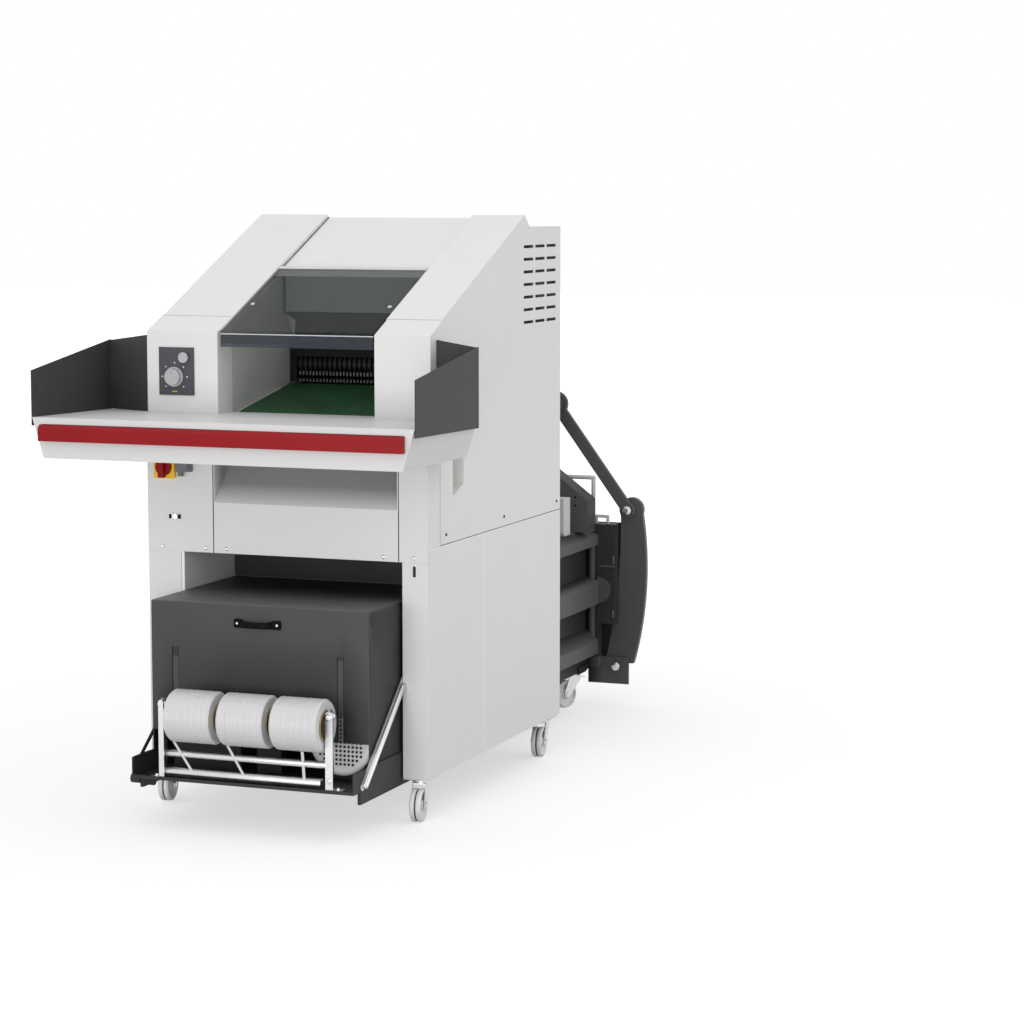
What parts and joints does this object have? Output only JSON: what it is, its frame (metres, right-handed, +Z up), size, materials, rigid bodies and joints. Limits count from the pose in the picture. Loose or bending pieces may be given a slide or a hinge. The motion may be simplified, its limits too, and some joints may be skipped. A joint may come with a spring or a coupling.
{
  "type": "recycling baler",
  "caption": "White industrial shredder with a wide feed table, clear flap and red safety bar, standing over a dark horizontal baling press with strap rolls at the front.",
  "frame": {"origin": "on the floor under the middle of the bounding box", "axes": "+X right, +Y back, +Z up; the feed table faces -Y"},
  "size_m": [1.224, 2.522, 1.792],
  "materials": {
    "white_paint": "fine-textured powder coat, satin",
    "wing_paint": "fine-textured powder coat, satin",
    "press_paint": "structured dark grey coat, satin",
    "black_paint": "satin black coat",
    "bright_steel": "zinc plated or machined, bright",
    "wheel_rubber": "light grey tread, matt",
    "clear_plastic": "clear, smooth",
    "zinc_sheet": "plain sheet, matt",
    "cutter_steel": "oiled, dark",
    "belt_rubber": "smooth, matt",
    "red_plastic": "smooth, satin",
    "yellow_plastic": "smooth, satin",
    "grey_plastic": "fine-textured, matt",
    "drive_paint": "plain coat, satin",
    "black_plastic": "fine-textured, matt",
    "strap_white": "wound strap, silky"
  },
  "bodies": {
    "frame": {"leg_left": "white_paint", "leg_right": "white_paint", "lower_panel_left": "white_paint", "lower_panel_right": "white_paint", "side_panel_left": "white_paint", "side_panel_right": "white_paint", "back_cover": "white_paint", "front_panel_left": "white_paint", "front_panel_mid": "white_paint", "front_panel_right": "white_paint", "column_left": "white_paint", "column_right": "white_paint", "hood_left": "white_paint", "hood_main": "white_paint", "feed_chute": "zinc_sheet", "conveyor_belt": "belt_rubber", "feed_table": "white_paint", "wing_left": "wing_paint", "wing_right": "wing_paint", "control_plate": "grey_plastic", "switch_base": "yellow_plastic", "socket": "grey_plastic", "press_box": "press_paint", "drive_cover": "press_paint", "cover_handle": "black_plastic", "drive_unit": "drive_paint", "rear_fittings": "grey_plastic", "base_tray": "black_paint", "strap_stand": "bright_steel", "straps": "strap_white"},
    "flap": {"feed_flap": "clear_plastic", "flap_strip": "bright_steel"},
    "cutter_upper": {"cutter_upper": "cutter_steel"},
    "cutter_lower": {"cutter_lower": "cutter_steel"},
    "belt_roller": {"belt_roller": "bright_steel"},
    "safety_bar": {"safety_bar": "red_plastic"},
    "control_knob": {"control_knob": "bright_steel"},
    "start_button": {"start_button": "bright_steel"},
    "switch_handle": {"switch_handle": "red_plastic"},
    "key": {"key": "bright_steel"},
    "side_knob": {"side_knob": "yellow_plastic"},
    "roll_left": {"roll_left": "strap_white"},
    "roll_mid": {"roll_mid": "strap_white"},
    "roll_right": {"roll_right": "strap_white"},
    "ram": {"ram": "bright_steel"},
    "rear_door": {"rear_door": "press_paint"},
    "lock_lever": {"lock_lever": "press_paint"},
    "link_bar": {"link_bar": "press_paint"},
    "fork_front_left": {"fork_front_left": "bright_steel"},
    "wheel_front_left": {"wheel_front_left": "wheel_rubber"},
    "fork_front_right": {"fork_front_right": "bright_steel"},
    "wheel_front_right": {"wheel_front_right": "wheel_rubber"},
    "fork_rear_left": {"fork_rear_left": "bright_steel"},
    "wheel_rear_left": {"wheel_rear_left": "wheel_rubber"},
    "fork_rear_right": {"fork_rear_right": "bright_steel"},
    "wheel_rear_right": {"wheel_rear_right": "wheel_rubber"},
    "fork_press_left": {"press_fork_left": "bright_steel"},
    "wheel_press_left": {"press_wheel_left": "wheel_rubber"},
    "fork_press_right": {"press_fork_right": "bright_steel"},
    "wheel_press_right": {"press_wheel_right": "wheel_rubber"}
  },
  "joints": [
    {"name": "flap_hinge", "type": "hinge", "parent": "frame", "child": "flap", "pos_m": [0.0565, -0.416, 1.6159], "axis": [-1, 0, 0], "range_deg": [0, 65]},
    {"name": "cutter_turn", "type": "hinge", "parent": "frame", "child": "cutter_upper", "pos_m": [0.0565, -0.268, 1.322], "axis": [1, 0, 0], "continuous": true},
    {"name": "cutter_lower_turn", "type": "hinge", "parent": "frame", "child": "cutter_lower", "pos_m": [0.0565, -0.268, 1.21], "axis": [1, 0, 0], "continuous": true},
    {"name": "belt_roller_turn", "type": "hinge", "parent": "frame", "child": "belt_roller", "pos_m": [0.0565, -0.353, 1.24], "axis": [1, 0, 0], "continuous": true},
    {"name": "safety_bar_push", "type": "slide", "parent": "frame", "child": "safety_bar", "axis": [0, 1, 0], "range_m": [0, 0.0025], "stiffness_N_per_m": 3000},
    {"name": "knob_turn", "type": "hinge", "parent": "frame", "child": "control_knob", "pos_m": [-0.344, -0.842, 1.309], "axis": [0, 1, 0], "range_deg": [-60, 60]},
    {"name": "button_push", "type": "slide", "parent": "frame", "child": "start_button", "axis": [0, 1, 0], "range_m": [0, 0.0025], "stiffness_N_per_m": 400},
    {"name": "switch_turn", "type": "hinge", "parent": "frame", "child": "switch_handle", "pos_m": [-0.37, -0.87, 1.036], "axis": [0, 1, 0], "range_deg": [0, 90]},
    {"name": "key_turn", "type": "hinge", "parent": "frame", "child": "key", "pos_m": [-0.341, -0.856, 0.885], "axis": [0, 1, 0], "range_deg": [0, 90]},
    {"name": "side_knob_push", "type": "slide", "parent": "frame", "child": "side_knob", "axis": [-1, 0, 0], "range_m": [0, 0.003], "stiffness_N_per_m": 400},
    {"name": "swivel_front_left", "type": "hinge", "parent": "frame", "child": "fork_front_left", "pos_m": [-0.39, -0.805, 0.13], "axis": [0, 0, 1], "continuous": true},
    {"name": "roll_front_left", "type": "hinge", "parent": "fork_front_left", "child": "wheel_front_left", "pos_m": [-0.38443, -0.84461, 0.05], "axis": [0.9903, 0.1392, 0], "continuous": true},
    {"name": "swivel_front_right", "type": "hinge", "parent": "frame", "child": "fork_front_right", "pos_m": [0.447, -0.805, 0.13], "axis": [0, 0, 1], "continuous": true},
    {"name": "roll_front_right", "type": "hinge", "parent": "fork_front_right", "child": "wheel_front_right", "pos_m": [0.45257, -0.84461, 0.05], "axis": [0.9903, 0.1392, 0], "continuous": true},
    {"name": "swivel_rear_left", "type": "hinge", "parent": "frame", "child": "fork_rear_left", "pos_m": [-0.39, 0.23, 0.13], "axis": [0, 0, 1], "continuous": true},
    {"name": "roll_rear_left", "type": "hinge", "parent": "fork_rear_left", "child": "wheel_rear_left", "pos_m": [-0.38443, 0.19039, 0.05], "axis": [0.9903, 0.1392, 0], "continuous": true},
    {"name": "swivel_rear_right", "type": "hinge", "parent": "frame", "child": "fork_rear_right", "pos_m": [0.447, 0.23, 0.13], "axis": [0, 0, 1], "continuous": true},
    {"name": "roll_rear_right", "type": "hinge", "parent": "fork_rear_right", "child": "wheel_rear_right", "pos_m": [0.45257, 0.19039, 0.05], "axis": [0.9903, 0.1392, 0], "continuous": true},
    {"name": "swivel_press_left", "type": "hinge", "parent": "frame", "child": "fork_press_left", "pos_m": [-0.155, 1.097, 0.13], "axis": [0, 0, 1], "continuous": true},
    {"name": "roll_press_left", "type": "hinge", "parent": "fork_press_left", "child": "wheel_press_left", "pos_m": [-0.17316, 1.06136, 0.05], "axis": [0.891, -0.454, 0], "continuous": true},
    {"name": "swivel_press_right", "type": "hinge", "parent": "frame", "child": "fork_press_right", "pos_m": [0.245, 1.097, 0.13], "axis": [0, 0, 1], "continuous": true},
    {"name": "roll_press_right", "type": "hinge", "parent": "fork_press_right", "child": "wheel_press_right", "pos_m": [0.22684, 1.06136, 0.05], "axis": [0.891, -0.454, 0], "continuous": true},
    {"name": "spool_left", "type": "hinge", "parent": "frame", "child": "roll_left", "pos_m": [0.027, -1.183, 0.3395], "axis": [1, 0, 0], "continuous": true},
    {"name": "spool_mid", "type": "hinge", "parent": "frame", "child": "roll_mid", "pos_m": [0.027, -1.183, 0.3395], "axis": [1, 0, 0], "continuous": true},
    {"name": "spool_right", "type": "hinge", "parent": "frame", "child": "roll_right", "pos_m": [0.027, -1.183, 0.3395], "axis": [1, 0, 0], "continuous": true},
    {"name": "ram_stroke", "type": "slide", "parent": "frame", "child": "ram", "axis": [0, 1, 0], "range_m": [0, 0.45]},
    {"name": "door_hinge", "type": "hinge", "parent": "frame", "child": "rear_door", "pos_m": [-0.213, 1.231, 0.4], "axis": [0, 0, 1], "range_deg": [0, 105]},
    {"name": "lever_swing", "type": "hinge", "parent": "frame", "child": "lock_lever", "pos_m": [0.382, 1.211, 0.14], "axis": [0, 1, 0], "range_deg": [0, 26]},
    {"name": "link_swing", "type": "hinge", "parent": "lock_lever", "child": "link_bar", "pos_m": [0.424, 1.211, 0.715], "axis": [0, 1, 0], "range_deg": [0, 54]}
  ],
  "couplings": [
    {"joint": "cutter_lower_turn", "follows": "cutter_turn", "ratio": -1},
    {"joint": "link_swing", "follows": "lever_swing", "ratio": 2}
  ]
}
